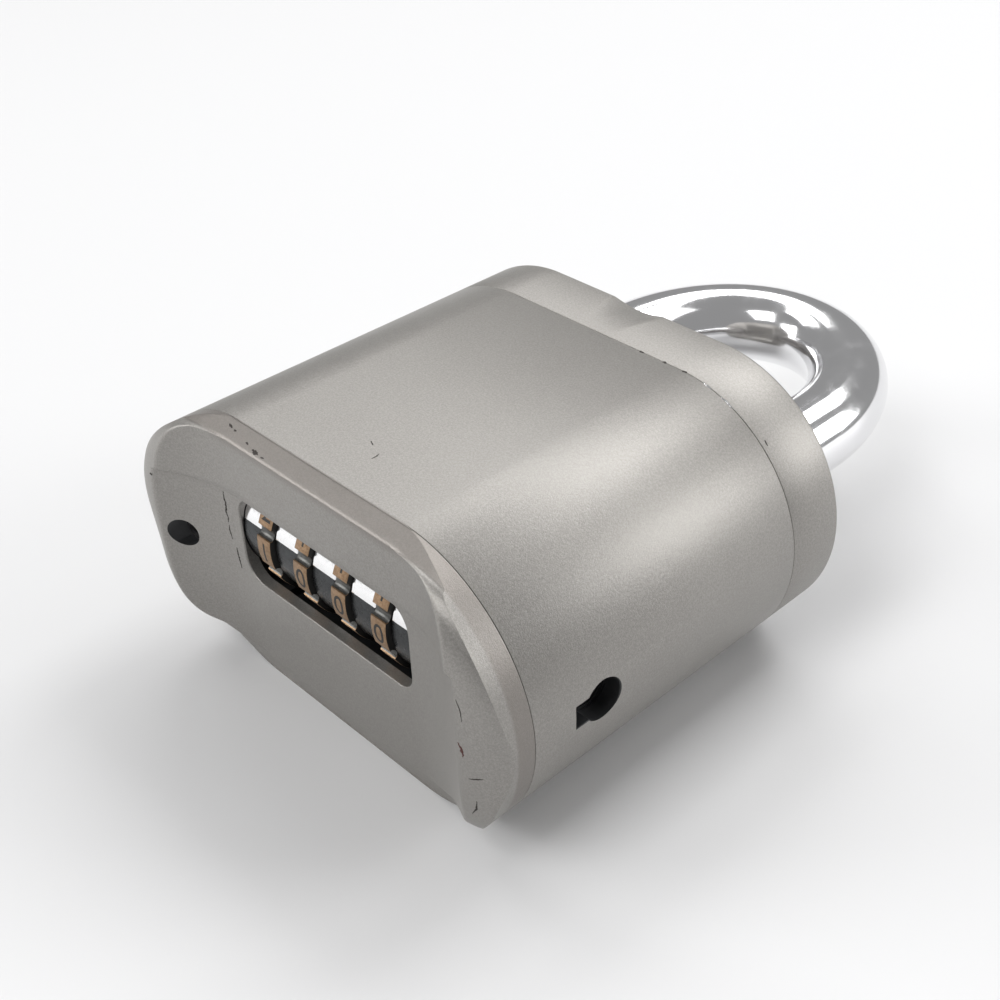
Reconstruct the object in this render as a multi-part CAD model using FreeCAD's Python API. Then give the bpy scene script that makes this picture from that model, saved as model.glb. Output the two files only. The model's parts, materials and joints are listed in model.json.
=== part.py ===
import FreeCAD, Part
import math
import os

# Four-wheel combination padlock, lying on its back face. Millimetres.
# +X points to the side with the keyhole, +Y to the shackle, +Z out of the front.
# The origin is the point of the back face under the middle of the shell.

V = FreeCAD.Vector
os.makedirs("parts", exist_ok=True)

# Case
CASE_W = 60.0
CASE_T = 34.5
SHELL_H = 39.0
SHELL_WALL = 2.0
FIT_GAP = 0.05
MID_Z = CASE_T / 2
SEAM_LOW = -SHELL_H / 2
SEAM_TOP = SHELL_H / 2
TOP_CAP_H = 7.9
TOP_Y = SEAM_TOP + TOP_CAP_H
TOP_ROUND = 0.5
THUMB_W = 8.6
THUMB_DEPTH = 0.75
THUMB_H = 3.0

# Wheel end: a bevel in front, rounded ears at the sides, an arched recess across
BEVEL_Z = 1.5
BEVEL_Y = 2.2
BEVEL_SPREAD = 0.8
BACK_ROUND_Z = 1.6
CORNER_R = CASE_T * 0.377
EAR_TOP_Y = 3.1
EAR_IN_X = 5.0
EAR_IN_Z = 4.5
EAR_IN_R = 3.0
RECESS_FLOOR = 1.4
RECESS_FLAT_X = CASE_W * 0.2167
RECESS_END_X = CASE_W * 0.4333
RECESS_R = 20.0
LIP_PROUD = 0.7

# Wheels
WHEEL_COUNT = 4
DIGITS = 10
DIGIT_STEP = 360 / DIGITS
DIGIT_TURN = -3.0
PITCH = CASE_W * 0.1062
RING_R = 8.1
RING_W = 2.35
SCALLOP_HALF = 0.72
SCALLOP_DEPTH = 0.6
BARREL_R = RING_R - SCALLOP_DEPTH
BARREL_SIDE_GAP = 0.15
BARREL_W = PITCH - RING_W - BARREL_SIDE_GAP
SPLINE_ROOT_R = 5.2
SPLINE_TIP_R = 5.9
SPLINE_W = 1.5
SPLINE_GAP = 0.06
SPLINE_SINK = 0.3
GATE_W = 2.4
GATE_DEPTH = 1.9
GATE_LIP = 0.6
AXIS_Y = SEAM_LOW + 6.4
AXIS_Z = MID_Z + CASE_T * 0.0928
FIRST_WHEEL_X = -PITCH * (WHEEL_COUNT - 1) / 2

# Pocket, window and spindle
POCKET_X = -FIRST_WHEEL_X + RING_W / 2 + BARREL_W + BARREL_SIDE_GAP
POCKET_GAP = 0.5
ROOM_GAP = 0.2
WINDOW_X = POCKET_X - 0.85
WINDOW_DOWN = 5.85
WINDOW_UP = 4.85
WINDOW_R = 3.6
LIP_Z = AXIS_Z + WINDOW_UP + 0.5
SPINDLE_R = 1.75
SPINDLE_RUN = 0.06
SPINDLE_SEAT = 0.02
SPINDLE_HALF = POCKET_X + 2.65
SPINDLE_HEAD_R = 2.55
SPINDLE_HEAD_H = 1.2
CLIP_X = SPINDLE_HALF - 1.4
CLIP_T = 0.6
CLIP_R = 2.65
CLIP_NECK_R = 1.35
CLIP_MOUTH = 2.2
CLIP_GAP = 0.05

# Inner castings
HOUSING_TOP = AXIS_Y + RING_R + 1.8
BLOCK_LOW = HOUSING_TOP + 0.1
BLOCK_TOP = SEAM_TOP - 0.1

# Shackle
ROD_R = 5.1
LEG_X = CASE_W * 0.2642
LEG_BORE_GAP = 0.3
LEG_END_CHAMFER = 0.8
STRAIGHT_H = 14.3
BEND_Y = TOP_Y + STRAIGHT_H
BEND_RISE = 19.1
CROWN_R = 14.0
TOE_TIP = 2.2
HEEL_Y = HOUSING_TOP + 0.3
HEEL_HEAD = 1.8
GROOVE_H = 4.4
GROOVE_R = 3.1
NOTCH_CLEAR = 0.3
BORE_SPARE = 1.0
SPRING_HOLE_R = 1.75
SPRING_HOLE_H = 11.0
SPRING_HOLE_Y = HEEL_Y + SPRING_HOLE_H

# Locking bolts, and the fence that spreads them
SLIDE_GAP = 0.1
BOLT_SINK = 3.0
BOLT_Y = SEAM_TOP - BOLT_SINK
BOLT_H = 3.6
BOLT_D = 7.6
BOLT_NOSE_R = 0.6
BOLT_REACH = LEG_X - ROD_R - 0.35
BOLT_TRAVEL = 2.2
WEDGE_TIP_W = 2.4
WEDGE_TIP_Y = BOLT_Y - 0.7
WEDGE_H = 3.4
WEDGE_FOOT = 0.8
WEDGE_D = 4.0
STEM_W = 3.2
FENCE_H = 2.0
FENCE_D = 6.0
FENCE_SHIFT_Z = 0.5
FENCE_END = 0.2
TOOTH_W = 2.0
TOOTH_D = 2.0
TOOTH_GAP = 0.3
PIN_R = 1.3
PIN_HALF = CASE_T * 0.275

# Places where the shackle is held
NOTCH_LOW = BOLT_Y - BOLT_H / 2 - NOTCH_CLEAR
NOTCH_TOP = BOLT_Y + BOLT_H / 2 + NOTCH_CLEAR
TOE_Y = NOTCH_LOW - TOE_TIP
GROOVE_LOW = HEEL_Y + HEEL_HEAD
LIFT = NOTCH_LOW - GROOVE_LOW
PIN_Y = NOTCH_LOW + PIN_R + SLIDE_GAP
PIN_X = LEG_X + GROOVE_R + SLIDE_GAP + PIN_R

# Keyhole and the code change rotor behind it
KEY_UP = 9.2
KEY_Y = SEAM_LOW + KEY_UP
KEY_Z = MID_Z - 0.05
KEY_R = 2.4
KEY_SLOT_W = 2.8
KEY_SLOT_REACH = 3.7
ROTOR_R = 2.1
ROTOR_RUN = 0.08
ROTOR_OUT_X = CASE_W / 2 - SHELL_WALL - 0.6
ROTOR_IN_X = SPINDLE_HALF + 1.4
ROTOR_SLOT_W = 1.2
ROTOR_SLOT_H = 3.6
ROTOR_SLOT_DEPTH = 2.5
LOBE_R = 0.7
LOBE_OFFSET = 1.2
LOBE_LENGTH = 1.4

# Case screw in the hole of the wheel end
SCREW_X = -CASE_W * 0.375
SCREW_HOLE_R = 2.3
SCREW_HEAD_R = 2.1
SCREW_HEAD_H = 1.7
SCREW_SHANK_R = 1.3
SCREW_HEAD_Y = SEAM_LOW - RECESS_FLOOR - 0.8
SCREW_GRIP = 9.0
SCREW_END_Y = HOUSING_TOP + SCREW_GRIP
SCREW_SOCKET_R = 1.0
SCREW_SOCKET_DEPTH = 1.1

# Springs
LEAF_T = 0.4
LEAF_SIDE = 0.75
LEAF_BACK = 2.2
LEAF_DROP = 0.75
LEAF_ROOM = 1.1
FINGER_W = 1.8
LEAF_X = FINGER_W / 2 + LEAF_SIDE - FIRST_WHEEL_X
FINGER_TIP = 1.2
BUMP_R = 0.45
BUMP_GAP = 0.08
SHACKLE_COIL_R = 1.15
SHACKLE_WIRE_R = 0.28
SHACKLE_COIL_TURNS = 9
FENCE_COIL_R = 1.0
FENCE_WIRE_R = 0.25
FENCE_COIL_TURNS = 5
FENCE_COIL_ROOM = 5.0
COIL_WELL_R = 1.5
COIL_SEAT = 0.03
COIL_STEPS = 10

PAST = 2.0


def keep(shape, name):
    """Write one solid of the padlock."""
    solid = shape.removeSplitter()
    if solid.ShapeType != "Solid" and len(solid.Solids) == 1:
        solid = solid.Solids[0]
    print(name, len(shape.Solids), "solid,", round(solid.Volume, 1), "mm3, valid", solid.isValid())
    solid.exportStep("parts/" + name + ".step")


def box(x0, x1, y0, y1, z0, z1):
    return Part.makeBox(x1 - x0, y1 - y0, z1 - z0, V(x0, y0, z0))


def rod(radius, start, end):
    way = end - start
    return Part.makeCylinder(radius, way.Length, start, way)


def upright(radius, x, y0, y1, z=MID_Z):
    """Round rod along the shackle's legs."""
    return rod(radius, V(x, y0, z), V(x, y1, z))


def across(radius, x0, x1, y=AXIS_Y, z=AXIS_Z):
    """Round rod across the case, on the wheels' axis unless told otherwise."""
    return rod(radius, V(x0, y, z), V(x1, y, z))


def rounded_wire(half_w, z0, z1, radius, y):
    """Rounded rectangle in the plane of one height of the case."""
    ix = half_w - radius
    lo = z0 + radius
    hi = z1 - radius
    arcs = []
    for cx, cz, turn in [(ix, hi, 0), (-ix, hi, 90), (-ix, lo, 180), (ix, lo, 270)]:
        points = []
        for step in (0, 45, 90):
            angle = math.radians(turn + step)
            points.append(V(cx + radius * math.cos(angle), y, cz + radius * math.sin(angle)))
        arcs.append(points)
    edges = []
    for i, points in enumerate(arcs):
        following = arcs[(i + 1) % 4][0]
        edges.append(Part.Arc(*points).toShape())
        if (following - points[2]).Length > 1e-6:
            edges.append(Part.makeLine(points[2], following))
    return Part.Wire(edges)


def stadium(inset, y0, y1):
    """Prism with full round sides, set in from the outside of the case."""
    radius = CASE_T / 2 - inset - 0.001
    wire = rounded_wire(CASE_W / 2 - inset, inset, CASE_T - inset, radius, y0)
    return Part.Face(wire).extrude(V(0, y1 - y0, 0))


def plate(points, z0, z1):
    """Polygon drawn in XY and pushed along Z."""
    corners = [V(x, y, z0) for x, y in points]
    corners.append(corners[0])
    return Part.Face(Part.makePolygon(corners)).extrude(V(0, 0, z1 - z0))


def coil(radius, wire_r, y0, y1, turns, x, z):
    """Compression spring along Y between two faces, wound from six-sided wire."""
    rise = y1 - y0 - 2 * wire_r
    steps = turns * COIL_STEPS
    sections = []
    for i in range(steps + 1):
        angle = 2 * math.pi * i / COIL_STEPS
        corners = []
        for k in range(7):
            side = math.pi * k / 3
            reach = radius + wire_r * math.cos(side)
            height = y0 + wire_r + rise * i / steps + wire_r * math.sin(side)
            corners.append(V(x + reach * math.cos(angle), height, z + reach * math.sin(angle)))
        sections.append(Part.makePolygon(corners))
    return Part.makeLoft(sections, True, True)


def wheel_point(x, radius, turn):
    """Point on a wheel: turn is counted from the window side towards the front."""
    angle = math.radians(turn)
    return V(x, AXIS_Y - radius * math.cos(angle), AXIS_Z + radius * math.sin(angle))


def splines(core_r, tip_r, width, x0, x1):
    """Cylinder with one straight tooth for each digit."""
    tooth = box(x0, x1, AXIS_Y - tip_r, AXIS_Y - core_r / 2, AXIS_Z - width / 2, AXIS_Z + width / 2)
    teeth = []
    for i in range(DIGITS):
        turned = tooth.copy()
        turned.rotate(wheel_point(0, 0, 0), V(1, 0, 0), i * DIGIT_STEP)
        teeth.append(turned)
    return across(core_r, x0, x1).fuse(teeth).removeSplitter()


def recess(floor, z0, z1):
    """Tool for the recess across the wheel end, its sides swept up to the ears."""
    top = SEAM_LOW - floor
    side = []
    for share in (0, 0.5, 1):
        out = share * (RECESS_END_X - RECESS_FLAT_X)
        drop = RECESS_R - math.sqrt(RECESS_R ** 2 - out ** 2)
        side.append(V(RECESS_FLAT_X + out, top - drop, z0))
    other = [V(-p.x, p.y, p.z) for p in reversed(side)]
    low_right = V(side[2].x, SEAM_LOW - 5 * PAST, z0)
    low_left = V(-low_right.x, low_right.y, z0)
    edges = [Part.Arc(*side).toShape(), Part.makeLine(side[2], low_right)]
    edges += [Part.makeLine(low_right, low_left), Part.makeLine(low_left, other[0])]
    edges += [Part.Arc(*other).toShape(), Part.makeLine(other[2], side[0])]
    return Part.Face(Part.Wire(edges)).extrude(V(0, 0, z1 - z0))


def wheel_end_cap():
    stages = [(0.0, CASE_W / 2 + BEVEL_SPREAD, -0.5, CASE_T, CORNER_R + 1)]
    stages.append((BEVEL_Y, CASE_W / 2, BACK_ROUND_Z, CASE_T - BEVEL_Z, CORNER_R))
    for turn in (30, 60, 90):
        inward = 1 - math.cos(math.radians(turn))
        down = BEVEL_Y + EAR_TOP_Y * math.sin(math.radians(turn))
        back = BACK_ROUND_Z + EAR_IN_Z * inward
        front = CASE_T - BEVEL_Z - EAR_IN_Z * inward
        stages.append((down, CASE_W / 2 - EAR_IN_X * inward, back, front, CORNER_R - EAR_IN_R * inward))
    rims = [rounded_wire(w, z0, z1, r, SEAM_LOW - d) for d, w, z0, z1, r in stages]
    cap = Part.makeLoft(rims[:2], True, True).fuse(Part.makeLoft(rims[1:], True, False))
    cap = cap.common(stadium(0, SEAM_LOW - 4 * PAST, SEAM_LOW))
    cap = cap.cut(recess(RECESS_FLOOR, -PAST, LIP_Z))
    cap = cap.cut(recess(RECESS_FLOOR + LIP_PROUD, LIP_Z, CASE_T + PAST))
    outline = rounded_wire(WINDOW_X, AXIS_Z - WINDOW_DOWN, AXIS_Z + WINDOW_UP, WINDOW_R, SEAM_LOW - 4 * PAST)
    cap = cap.cut(Part.Face(outline).extrude(V(0, 5 * PAST, 0)))
    cap = cap.cut(across(BARREL_R + ROOM_GAP / 2, -POCKET_X, POCKET_X))
    ring_span = RING_W / 2 + ROOM_GAP - FIRST_WHEEL_X
    cap = cap.cut(across(RING_R + ROOM_GAP, -ring_span, ring_span))
    return cap.cut(upright(SCREW_HOLE_R, SCREW_X, SEAM_LOW - 4 * PAST, SEAM_LOW + PAST))


def shackle_end_cap():
    cap = stadium(0, SEAM_TOP, TOP_Y)
    rim = [e for e in cap.Edges if e.BoundBox.YMin > TOP_Y - 1e-4]
    cap = cap.makeFillet(TOP_ROUND, rim)
    for side in (-1, 1):
        cap = cap.cut(upright(ROD_R + LEG_BORE_GAP, side * LEG_X, SEAM_TOP - PAST, TOP_Y + PAST))
    scoop_r = ((THUMB_W / 2) ** 2 + THUMB_DEPTH ** 2) / (2 * THUMB_DEPTH)
    scoop_low = V(0, TOP_Y - THUMB_H, CASE_T + scoop_r)
    scoop_top = V(0, TOP_Y + THUMB_H, CASE_T + scoop_r - 2 * THUMB_DEPTH)
    return cap.cut(rod(scoop_r, scoop_low, scoop_top))


def number_ring(middle):
    """Ring with raised lands for ten digits and a bore that fits the hub's splines."""
    x0 = middle - RING_W / 2
    x1 = middle + RING_W / 2
    bore = splines(SPLINE_ROOT_R + SPLINE_GAP, SPLINE_TIP_R + SPLINE_GAP, SPLINE_W + 2 * SPLINE_GAP, x0, x1)
    scallop_r = (SCALLOP_HALF ** 2 + SCALLOP_DEPTH ** 2) / (2 * SCALLOP_DEPTH)
    scallops = []
    for n in range(DIGITS):
        deep = wheel_point(0, RING_R - SCALLOP_DEPTH + scallop_r, DIGIT_TURN + (n + 0.5) * DIGIT_STEP)
        scallops.append(across(scallop_r, x0 - PAST, x1 + PAST, deep.y, deep.z))
    return across(RING_R, x0, x1).cut(bore).cut(scallops)


def wheel_hub(middle):
    """Barrel with the gate for the fence, and the splined nose that carries the ring."""
    x0 = middle - RING_W / 2
    barrel = across(BARREL_R, x0 - BARREL_W, x0)
    gate = box(x0 - BARREL_W - PAST, x0 - GATE_LIP, AXIS_Y + BARREL_R - GATE_DEPTH, AXIS_Y + BARREL_R + PAST,
               AXIS_Z - GATE_W / 2, AXIS_Z + GATE_W / 2)
    nose = splines(SPLINE_ROOT_R, SPLINE_TIP_R, SPLINE_W, x0 - SPLINE_SINK, x0 + RING_W)
    hub = barrel.cut(gate).fuse(nose)
    return hub.cut(across(SPINDLE_R + SPINDLE_RUN, x0 - BARREL_W - PAST, x0 + RING_W + PAST))


def spindle():
    shaft = across(SPINDLE_R, -SPINDLE_HALF, SPINDLE_HALF)
    shaft = shaft.fuse(across(SPINDLE_HEAD_R, -SPINDLE_HALF - SPINDLE_HEAD_H, -SPINDLE_HALF))
    groove = across(SPINDLE_R + PAST, CLIP_X, CLIP_X + CLIP_T + 2 * CLIP_GAP)
    return shaft.cut(groove.cut(across(CLIP_NECK_R, CLIP_X - PAST, CLIP_X + PAST)))


def spindle_clip():
    x0 = CLIP_X + CLIP_GAP
    clip = across(CLIP_R, x0, x0 + CLIP_T).cut(across(CLIP_NECK_R + 0.02, x0 - PAST, x0 + PAST))
    mouth = box(x0 - PAST, x0 + PAST, AXIS_Y, AXIS_Y + CLIP_R + PAST, AXIS_Z - CLIP_MOUTH / 2, AXIS_Z + CLIP_MOUTH / 2)
    return clip.cut(mouth)


# The fence bar lies across the hubs with one tooth over each gate
teeth_x = []
for i in range(WHEEL_COUNT):
    teeth_x.append(FIRST_WHEEL_X + i * PITCH - RING_W / 2 - BARREL_W / 2 - SPLINE_SINK)
bar_x0 = teeth_x[0] - TOOTH_W / 2 - FENCE_END
bar_x1 = teeth_x[-1] + TOOTH_W / 2 + FENCE_END
bar_low = AXIS_Y + RING_R + TOOTH_GAP
bar_top = bar_low + FENCE_H
bar_z0 = AXIS_Z - FENCE_D / 2 - FENCE_SHIFT_Z
bar_z1 = bar_z0 + FENCE_D
stem_z0 = MID_Z - WEDGE_D / 2
stem_z1 = MID_Z + WEDGE_D / 2
wedge_x = WEDGE_TIP_W / 2 + WEDGE_H
wedge_base = WEDGE_TIP_Y - WEDGE_H


def fence_bar():
    """Toothed bar whose stem ends in the wedge between the bolts."""
    bar = box(bar_x0, bar_x1, bar_low, bar_top, bar_z0, bar_z1)
    for x in teeth_x:
        bar = bar.fuse(box(x - TOOTH_W / 2, x + TOOTH_W / 2, AXIS_Y + BARREL_R + TOOTH_GAP, bar_low + FENCE_H / 2,
                           AXIS_Z - TOOTH_D / 2, AXIS_Z + TOOTH_D / 2))
    bar = bar.fuse(box(-STEM_W / 2, STEM_W / 2, BLOCK_LOW, wedge_base, stem_z0, stem_z1))
    tip_x = WEDGE_TIP_W / 2
    foot_y = wedge_base - WEDGE_FOOT
    wedge = [(-tip_x, WEDGE_TIP_Y), (tip_x, WEDGE_TIP_Y), (wedge_x, wedge_base)]
    wedge += [(wedge_x, foot_y), (-wedge_x, foot_y), (-wedge_x, wedge_base)]
    return bar.fuse(plate(wedge, stem_z0, stem_z1))


bolt_low = BOLT_Y - BOLT_H / 2
bolt_top = BOLT_Y + BOLT_H / 2
bolt_z0 = MID_Z - BOLT_D / 2
bolt_z1 = MID_Z + BOLT_D / 2


def locking_bolt(side):
    """Bolt with a round nose for the shackle and a ramp for the wedge."""
    ramp_x = WEDGE_TIP_W / 2 + SLIDE_GAP * math.sqrt(2)
    ramp_end = ramp_x + WEDGE_TIP_Y - bolt_low
    outline = [(ramp_end, bolt_low), (BOLT_REACH, bolt_low), (BOLT_REACH, bolt_top)]
    outline += [(ramp_x, bolt_top), (ramp_x, WEDGE_TIP_Y)]
    bolt = plate([(side * x, y) for x, y in outline], bolt_z0, bolt_z1)
    nose = [e for e in bolt.Edges if abs(e.CenterOfMass.x) > BOLT_REACH - 1e-4 and e.BoundBox.ZLength > BOLT_D / 2]
    return bolt.makeFillet(BOLT_NOSE_R, nose)


def bend(start, centre, angle):
    """Part of the hoop's round bar that curves about a centre in its plane."""
    spoke = start - centre
    disc = Part.Face(Part.Wire(Part.makeCircle(ROD_R, start, V(-spoke.y, spoke.x, 0))))
    return disc.revolve(centre, V(0, 0, 1), angle)


def shackle():
    """Round bar bent to a hoop, notched for the bolts, necked at the long leg's foot."""
    rise = BEND_RISE - CROWN_R
    side_r = (LEG_X ** 2 + rise ** 2 - CROWN_R ** 2) / (2 * (LEG_X - CROWN_R))
    side_x = side_r - LEG_X
    slope = math.atan2(rise, side_x)
    crown = V(0, BEND_Y + rise, MID_Z)
    joint = crown + V(CROWN_R * math.cos(slope), CROWN_R * math.sin(slope), 0)
    hoop = bend(joint, crown, 180 - 2 * math.degrees(slope))
    for side, foot in ((-1, TOE_Y), (1, HEEL_Y)):
        hoop = hoop.fuse(upright(ROD_R, side * LEG_X, foot, BEND_Y))
        centre = V(-side * side_x, BEND_Y, MID_Z)
        hoop = hoop.fuse(bend(V(side * LEG_X, BEND_Y, MID_Z), centre, side * math.degrees(slope)))
    for x, y in ((-LEG_X, TOE_Y), (LEG_X, HEEL_Y)):
        skirt = upright(ROD_R + PAST, x, y - PAST, y + LEG_END_CHAMFER)
        cone = Part.makeCone(ROD_R - LEG_END_CHAMFER, ROD_R, LEG_END_CHAMFER, V(x, y, MID_Z), V(0, 1, 0))
        hoop = hoop.cut(skirt.cut(cone))
    notch_x = LEG_X - GROOVE_R
    deep = ROD_R + PAST
    hoop = hoop.cut(box(-notch_x, notch_x, NOTCH_LOW, NOTCH_TOP, MID_Z - deep, MID_Z + deep))
    neck = upright(ROD_R + PAST, LEG_X, GROOVE_LOW, GROOVE_LOW + GROOVE_H)
    neck = neck.cut(upright(GROOVE_R, LEG_X, GROOVE_LOW - PAST, GROOVE_LOW + GROOVE_H + PAST))
    hoop = hoop.cut(neck)
    flat = box(LEG_X + GROOVE_R, LEG_X + deep, GROOVE_LOW, PIN_Y + PIN_R + SLIDE_GAP, MID_Z - deep, MID_Z + deep)
    return hoop.cut(flat).cut(upright(SPRING_HOLE_R, LEG_X, HEEL_Y - PAST, SPRING_HOLE_Y))


# Room of the fence bar, half in the block and half in the housing
bar_room = box(bar_x0 - ROOM_GAP, bar_x1 + ROOM_GAP, bar_low - PAST, bar_top + BOLT_TRAVEL + ROOM_GAP,
               bar_z0 - SLIDE_GAP, bar_z1 + SLIDE_GAP)
coil_x = (bar_x0 + 1.8, bar_x0 + 1.8 + PITCH * 0.8)
coil_z = (bar_z0 + bar_z1) / 2
coil_roof = bar_top + BOLT_TRAVEL + FENCE_COIL_ROOM


def lock_block():
    """Block that guides the shackle, the bolts and the fence."""
    block = stadium(SHELL_WALL + FIT_GAP, BLOCK_LOW, BLOCK_TOP)
    bore_r = ROD_R + LEG_BORE_GAP
    block = block.cut(upright(bore_r, -LEG_X, TOE_Y - BORE_SPARE, BLOCK_TOP + PAST))
    block = block.cut(upright(bore_r, LEG_X, BLOCK_LOW - PAST, BLOCK_TOP + PAST))
    block = block.cut(box(-LEG_X, LEG_X, bolt_low - SLIDE_GAP, bolt_top + SLIDE_GAP,
                          bolt_z0 - SLIDE_GAP, bolt_z1 + SLIDE_GAP))
    well = wedge_x + 2 * SLIDE_GAP
    block = block.cut(box(-well, well, BLOCK_LOW - PAST, bolt_top, stem_z0 - SLIDE_GAP, stem_z1 + SLIDE_GAP))
    block = block.cut(bar_room)
    for x in coil_x:
        block = block.cut(upright(COIL_WELL_R, x, bar_top, coil_roof, coil_z))
    pin = rod(PIN_R + FIT_GAP / 2, V(PIN_X, PIN_Y, MID_Z - PIN_HALF), V(PIN_X, PIN_Y, MID_Z + PIN_HALF))
    block = block.cut(pin)
    return block.cut(upright(SCREW_SHANK_R + FIT_GAP / 2, SCREW_X, BLOCK_LOW - PAST, SCREW_END_Y + 0.5))


pocket_z0 = AXIS_Z - RING_R - POCKET_GAP
pocket_z1 = AXIS_Z + RING_R + POCKET_GAP
pocket_y = AXIS_Y + RING_R + ROOM_GAP
key_x = ROTOR_OUT_X + ROOM_GAP
keyhole = across(KEY_R, key_x, CASE_W / 2 + PAST, KEY_Y, KEY_Z)
keyhole = keyhole.fuse(box(key_x, CASE_W / 2 + PAST, KEY_Y - KEY_SLOT_REACH, KEY_Y,
                           KEY_Z - KEY_SLOT_W / 2, KEY_Z + KEY_SLOT_W / 2))


def open_saddle(radius, x0, x1):
    """Round seat for the spindle with a way in from the wheel end."""
    seat = across(radius, x0, x1)
    return seat.fuse(box(x0, x1, SEAM_LOW - PAST, AXIS_Y, AXIS_Z - radius, AXIS_Z + radius))


def dial_housing():
    """Casting round the wheels, closed by the wheel end cap."""
    housing = stadium(SHELL_WALL + FIT_GAP, SEAM_LOW, HOUSING_TOP)
    housing = housing.cut(box(-POCKET_X, POCKET_X, SEAM_LOW - PAST, pocket_y, pocket_z0, pocket_z1))
    housing = housing.cut(bar_room)
    head_x = SPINDLE_HALF + SPINDLE_HEAD_H + CLIP_GAP
    housing = housing.cut(open_saddle(SPINDLE_R + SPINDLE_SEAT, -SPINDLE_HALF, SPINDLE_HALF + CLIP_GAP))
    housing = housing.cut(open_saddle(SPINDLE_HEAD_R + CLIP_GAP, -head_x, -SPINDLE_HALF))
    housing = housing.cut(open_saddle(CLIP_R + CLIP_GAP, CLIP_X, CLIP_X + CLIP_T + 3 * CLIP_GAP))
    lobe_room = ROTOR_IN_X - LOBE_LENGTH - ROOM_GAP
    housing = housing.cut(across(ROTOR_R + ROTOR_RUN, lobe_room, CASE_W / 2, KEY_Y, KEY_Z))
    housing = housing.cut(keyhole)
    housing = housing.cut(upright(SCREW_SHANK_R + FIT_GAP / 2, SCREW_X, SEAM_LOW - PAST, HOUSING_TOP + PAST))
    housing = housing.cut(upright(SCREW_HEAD_R + SLIDE_GAP, SCREW_X, SEAM_LOW - PAST, SCREW_HEAD_Y + SCREW_HEAD_H))
    leaf_room = box(-LEAF_X - SLIDE_GAP, LEAF_X + SLIDE_GAP, SEAM_LOW - PAST, pocket_y,
                    pocket_z0 - LEAF_ROOM, pocket_z0 + FIT_GAP)
    return housing.cut(leaf_room)


def detent_spring():
    """Leaf with one finger for each ring, its bump resting in a scallop."""
    turn = DIGIT_TURN - 2.5 * DIGIT_STEP
    tip = wheel_point(0, RING_R - SCALLOP_DEPTH + BUMP_R + BUMP_GAP, turn)
    back = pocket_y - SLIDE_GAP
    z0 = pocket_z0 - LEAF_DROP - LEAF_T / 2
    z1 = z0 + LEAF_T
    leaf = box(-LEAF_X, LEAF_X, back - LEAF_BACK, back, z0, z1)
    for i in range(WHEEL_COUNT):
        x0 = FIRST_WHEEL_X + i * PITCH - FINGER_W / 2
        x1 = x0 + FINGER_W
        leaf = leaf.fuse(box(x0, x1, tip.y - FINGER_TIP, back - LEAF_BACK / 2, z0, z1))
        leaf = leaf.fuse(box(x0, x1, tip.y - BUMP_R, tip.y + BUMP_R, z0, tip.z))
        leaf = leaf.fuse(across(BUMP_R, x0, x1, tip.y, tip.z))
    return leaf


def change_rotor():
    """Slotted rotor with a lobe on its inner end."""
    rotor = across(ROTOR_R, ROTOR_IN_X, ROTOR_OUT_X, KEY_Y, KEY_Z)
    slot_top = KEY_Y - ROTOR_R + ROTOR_SLOT_H
    rotor = rotor.cut(box(ROTOR_OUT_X - ROTOR_SLOT_DEPTH, ROTOR_OUT_X + PAST, KEY_Y - ROTOR_R - PAST, slot_top,
                          KEY_Z - ROTOR_SLOT_W / 2, KEY_Z + ROTOR_SLOT_W / 2))
    return rotor.fuse(across(LOBE_R, ROTOR_IN_X - LOBE_LENGTH, ROTOR_IN_X + LOBE_R, KEY_Y - LOBE_OFFSET, KEY_Z))


def case_screw():
    neck_y = SCREW_HEAD_Y + SCREW_HEAD_H
    screw = upright(SCREW_HEAD_R, SCREW_X, SCREW_HEAD_Y, neck_y)
    screw = screw.fuse(upright(SCREW_SHANK_R, SCREW_X, neck_y, SCREW_END_Y))
    corners = []
    for k in range(7):
        angle = math.radians(60 * k)
        corners.append(V(SCREW_X + SCREW_SOCKET_R * math.cos(angle), SCREW_HEAD_Y,
                         MID_Z + SCREW_SOCKET_R * math.sin(angle)))
    return screw.cut(Part.Face(Part.makePolygon(corners)).extrude(V(0, SCREW_SOCKET_DEPTH, 0)))


keep(wheel_end_cap(), "wheel_end_cap")
keep(stadium(0, SEAM_LOW, SEAM_TOP).cut(stadium(SHELL_WALL, SEAM_LOW - PAST, SEAM_TOP + PAST)).cut(keyhole),
     "body_shell")
keep(shackle_end_cap(), "shackle_end_cap")
for i in range(WHEEL_COUNT):
    keep(number_ring(FIRST_WHEEL_X + i * PITCH), f"number_ring_{i + 1}")
    keep(wheel_hub(FIRST_WHEEL_X + i * PITCH), f"wheel_hub_{i + 1}")
collar_x = -FIRST_WHEEL_X + RING_W / 2 + BARREL_SIDE_GAP
keep(across(BARREL_R, collar_x, POCKET_X - SLIDE_GAP).cut(across(SPINDLE_R, 0, SPINDLE_HALF)), "spindle_collar")
keep(spindle(), "spindle")
keep(spindle_clip(), "spindle_clip")
keep(fence_bar(), "fence_bar")
keep(locking_bolt(-1), "locking_bolt_toe")
keep(locking_bolt(1), "locking_bolt_heel")
keep(shackle(), "shackle")
keep(rod(PIN_R, V(PIN_X, PIN_Y, MID_Z - PIN_HALF), V(PIN_X, PIN_Y, MID_Z + PIN_HALF)), "retaining_pin")
keep(lock_block(), "lock_block")
keep(dial_housing(), "dial_housing")
keep(detent_spring(), "detent_spring")
keep(coil(SHACKLE_COIL_R, SHACKLE_WIRE_R, HOUSING_TOP + COIL_SEAT, SPRING_HOLE_Y - COIL_SEAT, SHACKLE_COIL_TURNS,
          LEG_X, MID_Z), "shackle_spring")
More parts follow.
